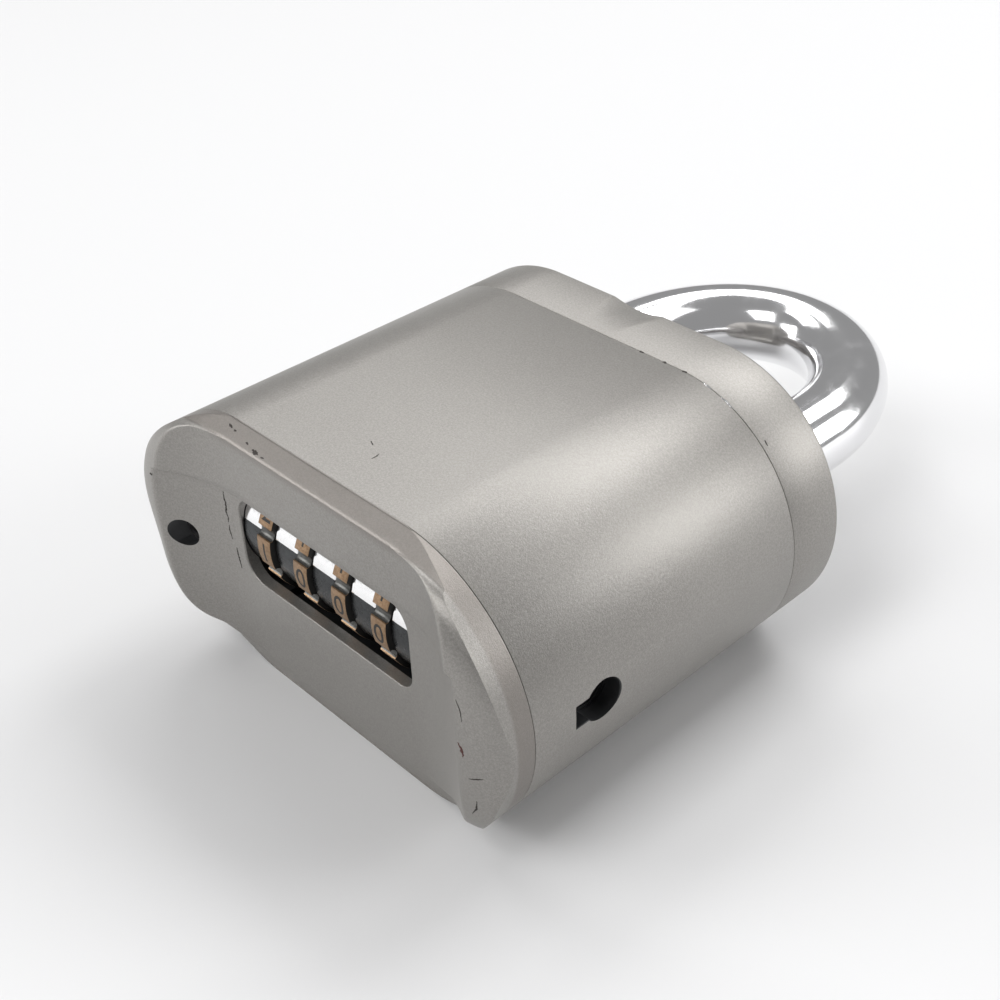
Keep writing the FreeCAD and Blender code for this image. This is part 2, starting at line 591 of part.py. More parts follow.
for i, x in enumerate(coil_x):
    keep(coil(FENCE_COIL_R, FENCE_WIRE_R, bar_top + COIL_SEAT, coil_roof - COIL_SEAT, FENCE_COIL_TURNS, x, coil_z),
         f"fence_spring_{i + 1}")
keep(change_rotor(), "change_rotor")
keep(case_screw(), "case_screw")
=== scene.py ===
import json
import math
import bmesh
import bpy
import numpy as np
from mathutils import Matrix, Vector


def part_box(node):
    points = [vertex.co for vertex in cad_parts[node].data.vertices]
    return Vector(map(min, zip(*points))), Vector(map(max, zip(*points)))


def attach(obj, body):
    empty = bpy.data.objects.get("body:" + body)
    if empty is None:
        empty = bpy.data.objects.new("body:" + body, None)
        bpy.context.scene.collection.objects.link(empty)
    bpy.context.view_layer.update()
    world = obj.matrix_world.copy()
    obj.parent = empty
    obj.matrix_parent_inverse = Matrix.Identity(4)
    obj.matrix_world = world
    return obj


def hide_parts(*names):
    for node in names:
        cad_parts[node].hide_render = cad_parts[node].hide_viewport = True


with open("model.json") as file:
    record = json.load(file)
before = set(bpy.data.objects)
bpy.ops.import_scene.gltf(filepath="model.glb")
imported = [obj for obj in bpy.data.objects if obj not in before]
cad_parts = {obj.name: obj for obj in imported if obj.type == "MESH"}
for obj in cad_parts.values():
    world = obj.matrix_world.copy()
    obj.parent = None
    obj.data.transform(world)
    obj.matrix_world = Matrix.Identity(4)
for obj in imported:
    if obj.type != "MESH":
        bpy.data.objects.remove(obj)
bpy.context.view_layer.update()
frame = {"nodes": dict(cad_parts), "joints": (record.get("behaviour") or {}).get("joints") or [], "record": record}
MM = 0.001


def joint_place(name):
    """A joint's place in mm."""
    joint = next(j for j in frame["joints"] if j["name"] == name)
    return [value / MM for value in joint["pos_m"]]


# All sizes are in mm and come from the frame where it has them. The back face lies on z = 0,
# +X points to the keyhole, +Y to the shackle and +Z out of the front face.
shell_low, shell_high = [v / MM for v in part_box("body_shell")]
top_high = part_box("shackle_end_cap")[1] / MM
hoop_low, hoop_high = [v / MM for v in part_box("shackle")]
ring_low, ring_high = [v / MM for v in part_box("number_ring_1")]
collar_low, collar_high = [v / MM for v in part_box("spindle_collar")]
bolt_low, bolt_high = [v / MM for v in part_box("locking_bolt_heel")]
pin_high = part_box("retaining_pin")[1] / MM
WHEELS = [joint_place(f"wheel_{number}_turn") for number in (1, 2, 3, 4)]
KEY = joint_place("change_turn")

CASE_W = shell_high.x - shell_low.x
CASE_T = shell_high.z - shell_low.z
STRAIGHT = (CASE_W - CASE_T) / 2
MID_Z = CASE_T / 2
SEAM_LOW = shell_low.y
SEAM_TOP = shell_high.y
TOP_Y = top_high.y
SHELL_WALL = 2.0

WHEEL_X = [wheel[0] for wheel in WHEELS]
AXIS_Y, AXIS_Z = WHEELS[0][1:]
PITCH = WHEEL_X[1] - WHEEL_X[0]
RING_W = ring_high.x - ring_low.x
RING_R = 8.1
SCALLOP_HALF = 0.72
SCALLOP_DEPTH = 0.6
BARREL_R = RING_R - SCALLOP_DEPTH
SPINDLE_R = 1.75


# Shader nodes
class Value:
    """A node's output. Numbers take ordinary arithmetic."""

    def __init__(self, tree, socket):
        self.tree = tree
        self.socket = socket

    def node(self, kind, inputs=None, out=0, **settings):
        """Any node of this tree: settings by name, inputs by socket name or number."""
        node = self.tree.nodes.new(kind)
        for name, value in settings.items():
            setattr(node, name, value)
        for name, value in (inputs or {}).items():
            link(self.tree, node.inputs[name], value)
        return Value(self.tree, node.outputs[out])

    def math(self, operation, *others):
        values = dict(enumerate((self, *others)))
        return self.node("ShaderNodeMath", values, operation=operation)

    def __add__(self, other):
        return self.math("ADD", other)

    __radd__ = __add__

    def __sub__(self, other):
        return self.math("SUBTRACT", other)

    def __rsub__(self, other):
        return self.node("ShaderNodeMath", {0: other, 1: self}, operation="SUBTRACT")

    def __mul__(self, other):
        return self.math("MULTIPLY", other)

    def __pow__(self, other):
        return self.math("POWER", other)

    def __abs__(self):
        return self.math("ABSOLUTE")

    def step(self, start, end):
        """Smooth step from 0 at start to 1 at end."""
        ranges = {"Value": self, "From Min": start, "From Max": end}
        return self.node("ShaderNodeMapRange", ranges, interpolation_type="SMOOTHSTEP")

    def mix(self, first, second):
        """Colour between two colours, this value being the share of the second."""
        inputs = {0: self, 6: first, 7: second}
        return self.node("ShaderNodeMix", inputs, out=2, data_type="RGBA")


def link(tree, socket, value):
    """Links a value to a socket, or sets the socket to a constant."""
    if isinstance(value, Value):
        tree.links.new(value.socket, socket)
    elif isinstance(value, tuple) and socket.type == "RGBA":
        socket.default_value = (*value, 1.0)
    else:
        socket.default_value = value


def material(name, paint):
    """Material from a function that takes a value of its tree and the place on the object in mm."""
    made = bpy.data.materials.new(name)
    made.use_nodes = True
    tree = made.node_tree
    shader = tree.nodes["Principled BSDF"]
    start = Value(tree, None)
    place = start.node("ShaderNodeTexCoord", out="Object")
    scaled = {0: place, "Scale": 1 / MM}
    place = start.node("ShaderNodeVectorMath", scaled, operation="SCALE")
    for socket, value in paint(start, place).items():
        link(tree, shader.inputs[socket], value)
    return made


def noise(start, place, scale, detail, rough=0.6):
    inputs = {"Vector": place, "Scale": scale, "Detail": detail, "Roughness": rough}
    return start.node("ShaderNodeTexNoise", inputs)


def bump(start, height, distance):
    """Bump whose height of 1 stands for a distance in mm."""
    inputs = {"Height": height, "Distance": distance * MM, "Strength": 1.0}
    return start.node("ShaderNodeBump", inputs)


# The darker warm band on the bevel, partly its own brownish tone and partly painted shade that dims the side where
# it catches light, lies in this range of y, and outside this rounded form
BAND_Y = ((-22.0, -21.5), (-19.6, -19.4))
BAND_X = 17.0
BAND_Z = 21.5
BAND_R = (10.4, 11.6)


def bevel_band(start, place):
    """1 on the bevel of the wheel end, whose darker tint is partly painted shade, 0 elsewhere."""
    x, y, z = [start.node("ShaderNodeSeparateXYZ", {0: place}, out=i) for i in range(3)]
    aside = (abs(x) - BAND_X).math("MAXIMUM", 0.0)
    above = (z - BAND_Z).math("MAXIMUM", 0.0)
    rim = ((aside ** 2.0 + above ** 2.0) ** 0.5).step(*BAND_R)
    return y.step(*BAND_Y[0]) * (1 - y.step(*BAND_Y[1])) * rim


def body_paint(start, place):
    """Satin metallic paint with a fine sparkle, and a darker warm bevel that is partly painted shade."""
    speck = noise(start, place, scale=4.2, detail=3.0, rough=0.75)
    fine = noise(start, place, scale=11.0, detail=2.0)
    cloud = noise(start, place, scale=0.06, detail=3.0, rough=0.5)
    tone = speck.step(0.35, 0.68) * 0.55 + fine.step(0.35, 0.7) * 0.45
    base = tone.mix((0.248, 0.237, 0.222), (0.372, 0.357, 0.337))
    base = (cloud.step(0.3, 0.75) * 0.12).mix(base, (0.39, 0.38, 0.36))
    # Darker warm bevel: partly the bevel's own tone, partly painted shade
    base = (bevel_band(start, place) * 0.55).mix(base, (0.200, 0.177, 0.160))
    return {
        "Base Color": base,
        "Metallic": 0.68,
        "Roughness": 0.36 + tone * 0.10,
        "Normal": bump(start, fine * 0.5 + speck * 0.5, distance=0.035),
    }


def bright(colour, rough, scale, detail, smears):
    """Bare bright metal with slightly duller smears."""
    def paint(start, place):
        smear = noise(start, place, scale, detail)
        return {
            "Base Color": colour,
            "Metallic": 1.0,
            "Roughness": rough + smear.step(*smears) * 0.10,
        }
    return paint


def bronze(start, place):
    fine = noise(start, place, scale=3.0, detail=4.0)
    return {
        "Base Color": fine.step(0.3, 0.7).mix((0.24, 0.15, 0.085), (0.36, 0.24, 0.145)),
        "Metallic": 0.75,
        "Roughness": 0.34 + fine * 0.15,
        "Normal": bump(start, fine, distance=0.01),
    }


def plain(colour, metallic, rough, grain=1.0):
    """One colour with a fine grain."""
    darker = tuple(c * 0.75 for c in colour)

    def paint(start, place):
        fine = noise(start, place, grain, detail=4.0)
        return {
            "Base Color": fine.step(0.3, 0.7).mix(darker, colour),
            "Metallic": metallic,
            "Roughness": rough + (fine - 0.5) * 0.15,
            "Normal": bump(start, fine, distance=0.01),
        }
    return paint


def floor_paint(start, place):
    return {"Base Color": (0.78, 0.78, 0.785), "Roughness": 0.55, "Metallic": 0.0}


PAINT = material("nickel_paint", body_paint)
CHROME = material("chrome", bright((0.80, 0.80, 0.81), 0.11, 0.35, 4.0, smears=(0.45, 0.8)))
POLISHED = material("hub_steel", bright((0.82, 0.82, 0.82), 0.16, 2.0, 3.0, smears=(0.4, 0.7)))
BRONZE = material("bronze", bronze)
STEEL = material("steel", plain((0.42, 0.42, 0.43), metallic=1.0, rough=0.32))
CASTING = material("casting", plain((0.035, 0.036, 0.038), metallic=0.3, rough=0.5))
INK = material("digit_ink", plain((0.012, 0.011, 0.010), metallic=0.0, rough=0.5))
DARK = material("bare_dark", plain((0.030, 0.022, 0.018), metallic=0.1, rough=0.6, grain=4.0))
RED_DARK = material("bare_red", plain((0.085, 0.016, 0.012), metallic=0.1, rough=0.5, grain=4.0))
# Scallops: bare metal whose darkness is painted shade. Ring sides: black as painted shade.
SCALLOP_SHADE = material("scallop_painted_shade", plain((0.10, 0.10, 0.095), metallic=0.8, rough=0.3, grain=2.0))
RING_SIDE_SHADE = material("ring_side_painted_shade", plain((0.012, 0.011, 0.010), metallic=0.2, rough=0.5, grain=2.0))
# Barrels' lower band: painted dark reflection of the housing's interior
BARREL_DARK_REFLECTION = material("barrel_painted_reflection", plain((0.055, 0.058, 0.060), metallic=0.9, rough=0.28, grain=1.2))
FLOOR = material("floor", floor_paint)


# Meshes
def mesh_object(name, points, faces, paint, flat_angle=30, smooth=True):
    """Object at the origin from points in mm."""
    mesh = bpy.data.meshes.new(name)
    mesh.from_pydata((np.asarray(points, float) * MM).tolist(), [], [list(f) for f in faces])
    work = bmesh.new()
    work.from_mesh(mesh)
    bmesh.ops.remove_doubles(work, verts=work.verts, dist=1e-7)
    bmesh.ops.recalc_face_normals(work, faces=work.faces)
    work.to_mesh(mesh)
    work.free()
    if smooth:
        mesh.shade_smooth()
        mesh.set_sharp_from_angle(angle=math.radians(flat_angle))
    mesh.materials.append(paint)
    made = bpy.data.objects.new(name, mesh)
    bpy.context.scene.collection.objects.link(made)
    return made


def cut(made, tools, flat_angle=30):
    """Cuts closed tools out of an object and deletes them."""
    for tool in tools:
        modifier = made.modifiers.new("cut", "BOOLEAN")
        modifier.operation = "DIFFERENCE"
        modifier.solver = "EXACT"
        modifier.material_mode = "TRANSFER"
        modifier.object = tool
    bpy.context.view_layer.update()
    seen = made.evaluated_get(bpy.context.evaluated_depsgraph_get())
    mesh = bpy.data.meshes.new_from_object(seen)
    made.modifiers.clear()
    made.data = mesh
    for tool in tools:
        bpy.data.objects.remove(tool)
    mesh.set_sharp_from_angle(angle=math.radians(flat_angle))
    return made


def grid_faces(rows, columns, closed_rows=False):
    """Faces of a grid of points. Each row is a closed loop."""
    faces = []
    for i in range(rows if closed_rows else rows - 1):
        for j in range(columns):
            here, there = i * columns, ((i + 1) % rows) * columns
            after = (j + 1) % columns
            faces.append((here + j, here + after, there + after, there + j))
    return faces


def flared(name, sections, paint):
    """Closed solid through sections, each a list of points of the same count."""
    steps = len(sections[0])
    last = (len(sections) - 1) * steps
    points = [p for section in sections for p in section]
    ends = [tuple(range(steps)), tuple(range(last, last + steps))]
    return mesh_object(name, points, grid_faces(len(sections), steps) + ends, paint)


def prism(name, outline, y0, y1, paint):
    """Closed prism along Y of an outline in x and z."""
    return flared(name, [[(x, y, z) for x, z in outline] for y in (y0, y1)], paint)


def lathe(name, profile, paint, centre, axis="x", steps=192, closed=False):
    """Body of revolution from a profile of distances along the axis and radii."""
    points = []
    for along, radius in profile:
        for i in range(steps):
            angle = 2 * math.pi * i / steps
            a = radius * math.cos(angle)
            b = radius * math.sin(angle)
            spot = (along, a, b) if axis == "x" else (a, along, b)
            points.append([s + c for s, c in zip(spot, centre)])
    return mesh_object(name, points, grid_faces(len(profile), steps, closed_rows=closed), paint)


def plug(start, end, radius):
    """Profile of a closed cylinder between two places on its axis."""
    return [(start, 0), (start, radius), (end, radius), (end, 0)]


def stadium_round(arc_steps, line_steps):
    """Points of the middle line and outward directions, once round the case, as x, z, x, z."""
    places = []
    for side in (1, -1):
        for i in range(arc_steps):
            angle = math.pi * (i / arc_steps - 0.5) + (0 if side == 1 else math.pi)
            places.append((side * STRAIGHT, MID_Z, math.cos(angle), math.sin(angle)))
        for i in range(line_steps):
            share = i / line_steps
            places.append((side * STRAIGHT * (1 - 2 * share), MID_Z, 0, side))
    return np.array(places)


def reached(turn, reach):
    """Points at a distance from the middle line, one for each direction round the case."""
    return turn[:, 0] + reach * turn[:, 2], turn[:, 1] + reach * turn[:, 3]


def stadium_band(name, profile, paint):
    """Closed band round the case, its profile given as inset and height in mm."""
    turn = stadium_round(150, 12)
    points = []
    for inset, y in profile:
        xs, zs = reached(turn, CASE_T / 2 - inset)
        points += list(zip(xs, [y] * len(xs), zs))
    return mesh_object(name, points, grid_faces(len(profile), len(turn), closed_rows=True), paint)


# The wheel end. Its depth is measured from the lower seam towards the wheels.
BEVEL_Y = 2.2
BACK_BEVEL_Y = 0.5
EAR_Y = 3.1
CORNER_R = CASE_T * 0.377
BACK_CORNER_R = 7.0
# How far each side of the outline comes in over the bevel, and over the ears' round edge
BEVEL_SIDE, BEVEL_FRONT, BEVEL_CORNER = 0.8, 1.5, 1.0
ROUND_SIDE, ROUND_FRONT, ROUND_BACK, ROUND_CORNER = 5.0, 4.5, 6.0, 3.0
BACK_START, BACK_BEVEL, BACK_SLOPE = -0.1, 2.5, 0.5
# The ears' lower edge rises and the left ear's side falls in
EAR_RISE = 1.8
EAR_RISE_X = (12.0, 22.0)
SIDE_FALL = 1.8
SIDE_FALL_Z = (24.0, 10.0)
# The arched recess between the ears, and the lip over the window
RECESS_FLOOR = 1.4
RECESS_FLAT_X = CASE_W * 0.2167
RECESS_END_X = CASE_W * 0.4333
RECESS_R = 20.0
BACK_FALL = 0.7
BACK_FALL_Z = (1.0, 13.0)
EDGE_SOFT = 0.35
LIP_PROUD = 0.7
LIP_SOFT = 0.22

WINDOW_X = 13.9
WINDOW_Z0 = AXIS_Z - 5.95
WINDOW_Z1 = AXIS_Z + 4.85
WINDOW_CORNERS = (3.2, 2.2, 2.8, 2.2)
WINDOW_TOOL = ((-23.5, 0.12), (-20.9, 0.12), (-20.86, 0.05), (-20.78, 0.0), (-18.0, 0.0))
LIP_Z = WINDOW_Z1 + 0.5
POCKET_X = WINDOW_X + 0.85
BARREL_ROOM = 0.1
RING_ROOM = 0.2
SCREW_X = -CASE_W * 0.375
SCREW_HOLE_R = 1.75
SCREW_HOLE_END = SEAM_LOW + 1.5
# Inset and height of a softened edge, from its end face to its side
SEAM_SOFT = ((0.14, 0.0), (0.04, 0.04), (0.0, 0.14))
RIM_GAP = 0.004
# How near a corner lies to a surface that gives it its normal, and how alike the normals are
ON_SKIN, ON_WALL = 0.02, 0.01
SKIN_FACING, WALL_FACING = 0.3, 0.8


def smooth(value, start, end):
    t = np.clip((value - start) / (end - start), 0, 1)
    return t * t * (3 - 2 * t)


def soft_min(a, b, soft):
    near = np.clip(0.5 + 0.5 * (b - a) / soft, 0, 1)
    return b * (1 - near) + a * near - soft * near * (1 - near)


def highest(low, high, rounds, test):
    """Highest value between two arrays at which a test holds, by halving."""
    for _ in range(rounds):
        middle = (low + high) / 2
        holds = test(middle)
        low = np.where(holds, middle, low)
        high = np.where(holds, high, middle)
    return low


def section(depth):
    """Half width, low z, high z, front and back corner radius of the wheel end at a depth."""
    bevel = np.clip(depth / BEVEL_Y, 0, 1)
    back_bevel = np.clip(depth / BACK_BEVEL_Y, 0, 1)
    past = np.clip(depth - BEVEL_Y, 0, EAR_Y) / EAR_Y
    inward = 1 - np.sqrt(np.clip(1 - past ** 2, 0, 1))
    half = CASE_W / 2 + BEVEL_SIDE * (1 - bevel) - ROUND_SIDE * inward
    low = BACK_START + BACK_BEVEL * back_bevel + BACK_SLOPE * bevel + ROUND_BACK * inward
    high = CASE_T - BEVEL_FRONT * bevel - ROUND_FRONT * inward
    front_r = CORNER_R + BEVEL_CORNER * (1 - bevel) - ROUND_CORNER * inward
    back_r = BACK_CORNER_R - ROUND_CORNER * inward
    return half, low, high, front_r, back_r


def outside(x, z, depth):
    """Signed distance from the wheel end's outline at a depth, below zero inside."""
    half, low, high, front_r, back_r = section(depth)
    deep = np.clip(depth / BEVEL_Y, 0, 1)
    low = low + EAR_RISE * deep * smooth(np.abs(x), *EAR_RISE_X)
    half = half - np.where(x < 0, SIDE_FALL * deep * smooth(z, *SIDE_FALL_Z), 0)
    middle = (low + high) / 2
    radius = np.where(z > middle, front_r, back_r)
    dx = np.abs(x) - (half - radius)
    dz = np.abs(z - middle) - ((high - low) / 2 - radius)
    reach = np.hypot(np.maximum(dx, 0), np.maximum(dz, 0))
    return reach + np.minimum(np.maximum(dx, dz), 0) - radius


def ear_depth(x, z):
    """Depth of the wheel end without its recess."""
    deepest = np.full_like(x, BEVEL_Y + EAR_Y)
    return highest(np.zeros_like(x), deepest, 26, lambda depth: outside(x, z, depth) < 0)


def recess_depth(x, z):
    """Depth of the recess's floor, which falls to the back and has the lip on its front part."""
    out = np.clip(np.abs(x) - RECESS_FLAT_X, 0, RECESS_END_X - RECESS_FLAT_X + 2)
    floor = RECESS_FLOOR + RECESS_R - np.sqrt(RECESS_R ** 2 - out ** 2)
    fall = BACK_FALL * (1 - smooth(z, *BACK_FALL_Z))
    return floor - fall + LIP_PROUD * smooth(z, LIP_Z - LIP_SOFT, LIP_Z + LIP_SOFT)


def cap_depth(x, z):
    """Depth of the wheel end's outer face."""
    return soft_min(ear_depth(x, z), recess_depth(x, z), EDGE_SOFT)


def cap_normal(x, z):
    """Outward normal of the wheel end's outer face."""
    step = 0.03
    dx = (cap_depth(x + step, z) - cap_depth(x - step, z)) / (2 * step)
    dz = (cap_depth(x, z + step) - cap_depth(x, z - step)) / (2 * step)
    normal = np.stack([-dx, -np.ones_like(dx), -dz], axis=1)
    return normal / np.linalg.norm(normal, axis=1)[:, None]


def crossing(turn, test):
    """Greatest distance from the middle line, up to the rim, at which a test of x and z holds."""
    start = np.zeros(len(turn))
    end = np.full(len(turn), CASE_T / 2 - RIM_GAP)
    return highest(start, end, 30, lambda reach: test(*reached(turn, reach)))


def cap_reaches(turn):
    """Rows of the outer face from the rim inward, aligned to the bevel, recess and lip edges."""
    bevel = crossing(turn, lambda x, z: ear_depth(x, z) > BEVEL_Y)
    edge = crossing(turn, lambda x, z: ear_depth(x, z) > recess_depth(x, z))
    bevel = np.maximum(bevel, edge)
    marks = [np.full(len(turn), CASE_T / 2 - RIM_GAP), bevel, edge]
    up = np.maximum(turn[:, 3], 1e-6)
    for lift in (LIP_SOFT, -LIP_SOFT):
        lip = np.where(turn[:, 3] > 0.01, (LIP_Z + lift - MID_Z) / up, CASE_T / 2)
        marks.append(np.minimum(lip, edge))
    marks.append(np.zeros(len(turn)))
    even = [np.linspace(0, 1, count + 1)[1:] for count in (14, 26, 14, 6, 28)]
    shares = [even[0], (1 - np.cos(np.pi * even[1])) / 2, even[2] ** 2, even[3], even[4] ** 1.5]
    reaches = [marks[0]]
    for start, end, steps in zip(marks, marks[1:], shares):
        reaches += [start + (end - start) * share for share in steps]
    return reaches


def shade_cap(cap):
    """Gives the cast face its exact normals, so its edges and sweeps shade cleanly."""
    mesh = cap.data
    corner = np.zeros(len(mesh.loops), int)
    mesh.loops.foreach_get("vertex_index", corner)
    place = np.zeros(len(mesh.vertices) * 3)
    mesh.vertices.foreach_get("co", place)
    x, y, z = (place.reshape(-1, 3)[corner] / MM).T
    totals = np.zeros(len(mesh.polygons), int)
    mesh.polygons.foreach_get("loop_total", totals)
    flat = np.zeros(len(mesh.polygons) * 3)
    mesh.polygons.foreach_get("normal", flat)
    flat = np.repeat(flat.reshape(-1, 3), totals, axis=0)
    skin = cap_normal(x, z)
    near_skin = np.abs(SEAM_LOW - cap_depth(x, z) - y) < ON_SKIN
    on_skin = near_skin & ((skin * flat).sum(1) > SKIN_FACING)
    out_x = x - np.clip(x, -STRAIGHT, STRAIGHT)
    out_z = z - MID_Z
    reach = np.hypot(out_x, out_z)
    wall = np.stack([out_x, np.zeros_like(x), out_z], axis=1) / np.maximum(reach, 1e-6)[:, None]
    near_wall = reach > CASE_T / 2 - ON_WALL
    on_wall = near_wall & ((wall * flat).sum(1) > WALL_FACING)
    normals = np.where(on_wall[:, None], wall, np.where(on_skin[:, None], skin, flat))
    mesh.normals_split_custom_set(normals.tolist())


def window_outline(grow):
    """Rounded outline in x and z, its corner radii from the front right one round by the left."""
    outline = []
    corners = ((1, 1), (-1, 1), (-1, -1), (1, -1))
    for number, ((side, up), radius) in enumerate(zip(corners, WINDOW_CORNERS)):
        cx = side * (WINDOW_X - radius)
        cz = WINDOW_Z1 - radius if up > 0 else WINDOW_Z0 + radius
        for i in range(17):
            angle = math.radians(90 * (number + i / 16))
            outline.append((cx + (radius + grow) * math.cos(angle),
                            cz + (radius + grow) * math.sin(angle)))
    return outline


def wheel_end():
    """The cast wheel end: its outer face, window, room for the wheels and screw hole."""
    turn = stadium_round(260, 110)
    rows = []

    def row(reach, y=None):
        xs, zs = reached(turn, reach)
        ys = SEAM_LOW - cap_depth(xs, zs) if y is None else np.full_like(xs, y)
        rows.append(np.stack([xs, ys, zs], axis=1))

    row(0.0, SEAM_LOW)
    for inset, rise in SEAM_SOFT:
        row(CASE_T / 2 - inset, SEAM_LOW - rise)
    for reach in cap_reaches(turn):
        row(reach)
    faces = grid_faces(len(rows), len(turn))
    cap = mesh_object("wheel_end_cap_skin", np.concatenate(rows), faces, PAINT, 35)

    window = [[(x, y, z) for x, z in window_outline(grow)] for y, grow in WINDOW_TOOL]
    tools = [flared("window_tool", window, PAINT)]
    rings_x = WHEEL_X[3] + RING_W / 2 + RING_ROOM
    for name, half, radius in (("barrel_tool", POCKET_X, BARREL_R + BARREL_ROOM),
                               ("ring_tool", rings_x, RING_R + RING_ROOM)):
        tools.append(lathe(name, plug(-half, half, radius), CASTING, (0, AXIS_Y, AXIS_Z)))
    hole_y = SEAM_LOW - float(cap_depth(np.array([SCREW_X]), np.array([MID_Z]))[0])
    hole = plug(hole_y - 6, SCREW_HOLE_END, SCREW_HOLE_R)
    tools.append(lathe("hole_tool", hole, CASTING, (SCREW_X, 0, MID_Z), "y", 64))
    cut(cap, tools, 35)
    shade_cap(cap)
    return cap


cap = wheel_end()
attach(cap, "case")
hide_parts("wheel_end_cap")

# The shell with its keyhole
KEY_Y, KEY_Z = KEY[1:]
KEY_R = 2.4
KEY_SLOT_W = 2.8
KEY_SLOT_REACH = 3.7
KEY_TOOL = ((1.0, 0.12), (-0.02, 0.12), (-0.14, 0.0), (-SHELL_WALL - 1, 0.0))

low_rim = [(inset, SEAM_LOW + rise) for inset, rise in SEAM_SOFT]
top_rim = [(inset, SEAM_TOP - rise) for inset, rise in reversed(SEAM_SOFT)]
inner = [(SHELL_WALL, SEAM_TOP), (SHELL_WALL, SEAM_LOW)]
shell = stadium_band("shell_skin", low_rim + top_rim + inner, PAINT)


def keyhole(x, grow):
    """Outline at x of the round hole with its slot."""
    half = KEY_SLOT_W / 2 + grow
    radius = KEY_R + grow
    slot_y = KEY_Y - KEY_SLOT_REACH - grow
    start = math.acos(half / radius)
    outline = []
    for i in range(49):
        angle = -start + (math.pi + 2 * start) * i / 48
        outline.append((x, KEY_Y + radius * math.sin(angle), KEY_Z + radius * math.cos(angle)))
    return outline + [(x, slot_y, KEY_Z - half), (x, slot_y, KEY_Z + half)]


sections = [keyhole(CASE_W / 2 + out, grow) for out, grow in KEY_TOOL]
cut(shell, [flared("key_tool", sections, CASTING)])
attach(shell, "case")
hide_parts("body_shell")

# The shackle end with its bores and the scoop for the thumb
HOOP_R = (hoop_high.z - hoop_low.z) / 2
LEG_X = hoop_high.x - HOOP_R
TOP_ROUND = 0.5
BORE_GAP = 0.3
BORE_FLARE = 0.35
THUMB_W = 8.6
THUMB_DEPTH = 0.75
THUMB_H = 3.0

turns = [math.pi / 2 * (1 - i / 6) for i in range(7)]
rim = [(TOP_ROUND * (1 - math.sin(a)), TOP_Y - TOP_ROUND * (1 - math.cos(a))) for a in turns]
seam = [(inset, SEAM_TOP + rise) for inset, rise in SEAM_SOFT]
profile = [(CASE_T / 2, SEAM_TOP)] + seam + rim + [(CASE_T / 2, TOP_Y)]
top_cap = stadium_band("shackle_end_cap_skin", profile, PAINT)
bore = HOOP_R + BORE_GAP
steps = [(SEAM_TOP - 1, 0), (SEAM_TOP - 1, bore), (TOP_Y - BORE_FLARE, bore),
         (TOP_Y - 0.1, bore + 0.1), (TOP_Y, bore + BORE_FLARE), (TOP_Y + 1, bore + BORE_FLARE),
         (TOP_Y + 1, 0)]
tools = [lathe("bore_tool", steps, PAINT, (side * LEG_X, 0, MID_Z), "y", 96) for side in (-1, 1)]


def thumb_ring(y, lift):
    """Circle whose lowest part scoops the front edge, deeper towards the shackle."""
    radius = ((THUMB_W / 2) ** 2 + THUMB_DEPTH ** 2) / (2 * THUMB_DEPTH)
    middle = CASE_T + radius + lift
    angles = [2 * math.pi * i / 256 for i in range(256)]
    return [(radius * math.cos(a), y, middle + radius * math.sin(a)) for a in angles]


thumb = [thumb_ring(TOP_Y - THUMB_H, 0.0), thumb_ring(TOP_Y + THUMB_H, -2 * THUMB_DEPTH)]
tools.append(flared("thumb_tool", thumb, PAINT))
cut(top_cap, tools)
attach(top_cap, "case")
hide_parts("shackle_end_cap")

# The shackle: its bend is half an ellipse, and the long leg is at +X
BEND_RISE = 19.1
BEND_Y = hoop_high.y - HOOP_R - BEND_RISE
BEND_STEPS = 120
LEG_STEPS = 24
BAR_STEPS = 112
BAR_CHAMFER = 0.8
NECK_R = 3.1
NECK_H = 4.4
NECK_LOW = hoop_low.y + 1.8
FLAT_LOW = NECK_LOW + 1.0
NOTCH_LOW = bolt_low.y - 0.3
NOTCH_TOP = bolt_high.y + 0.3
TOE_Y = NOTCH_LOW - 2.2
PIN_TOP = pin_high.y + 0.1
SPRING_HOLE_R = 1.75
SPRING_HOLE_DEPTH = 11.0
TOOL_REACH = HOOP_R + 1.5


def bar_rows():
    """Rows of the swept bar: x, y, direction in x and y, and radius."""
    shares = [i / LEG_STEPS for i in range(LEG_STEPS + 1)]
    bend = [math.pi * (1 - i / BEND_STEPS) for i in range(1, BEND_STEPS)]
    path = [(-LEG_X, TOE_Y + (BEND_Y - TOE_Y) * share) for share in shares]
    path += [(LEG_X * math.cos(a), BEND_Y + BEND_RISE * math.sin(a)) for a in bend]
    path += [(LEG_X, BEND_Y + (hoop_low.y - BEND_Y) * share) for share in shares]
    path = np.array(path)
    ways = np.gradient(path, axis=0)
    ways[:LEG_STEPS + 1] = (0, 1)
    ways[-LEG_STEPS - 1:] = (0, -1)
    ways /= np.linalg.norm(ways, axis=1)[:, None]
    ends = [(0.0, 0.0), (0.0, HOOP_R - BAR_CHAMFER), (BAR_CHAMFER, HOOP_R)]
    rows = [(path[0][0], path[0][1] + rise, 0, 1, radius) for rise, radius in ends]
    rows += [(*spot, *way, HOOP_R) for spot, way in zip(path[1:-1], ways[1:-1])]
    rows += [(path[-1][0], path[-1][1] + rise, 0, -1, radius) for rise, radius in ends[::-1]]
    return rows


